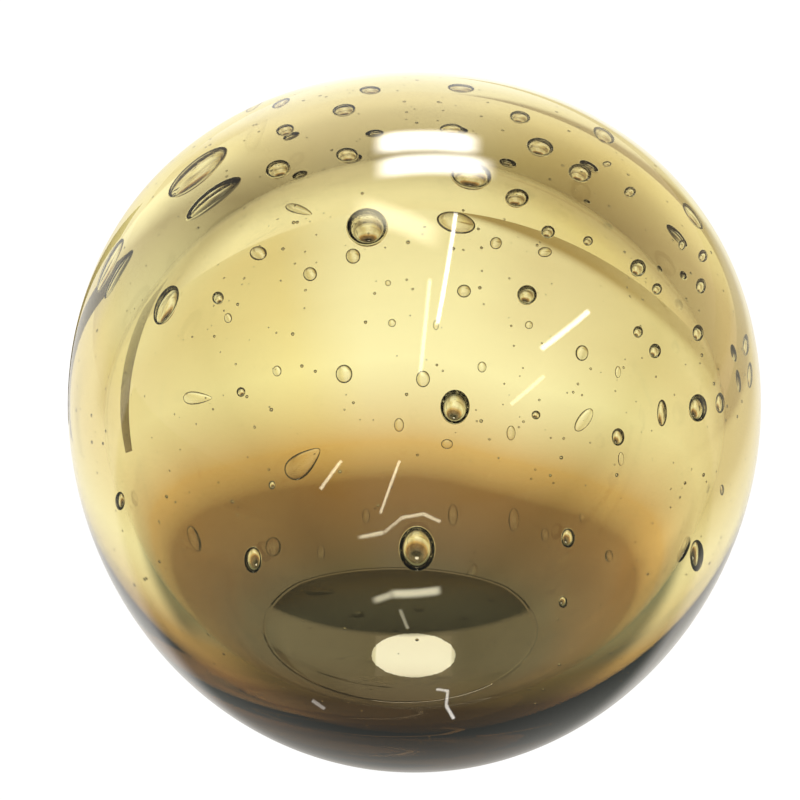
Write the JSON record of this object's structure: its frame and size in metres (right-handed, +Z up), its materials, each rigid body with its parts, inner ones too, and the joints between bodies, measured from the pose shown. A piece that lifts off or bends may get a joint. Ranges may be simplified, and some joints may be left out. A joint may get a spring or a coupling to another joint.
{
  "type": "glass ball",
  "caption": "Sealed hollow blown-glass ball with trapped air bubbles, amber shading to smoke, standing on a small ground flat.",
  "frame": {"origin": "centre of the ground flat on the underside, where the ball meets the surface it stands on", "axes": "+Z up through the crown, the axis the ball was turned on; -Y faces the picture's camera, +X to its right"},
  "size_m": [0.1476, 0.1476, 0.1502],
  "materials": {
    "amber_smoke_glass": "fire-polished clear amber glass shading to brown-grey smoke at the base, bubbled"
  },
  "bodies": {
    "root": {"glass_ball": "amber_smoke_glass"}
  },
  "joints": []
}
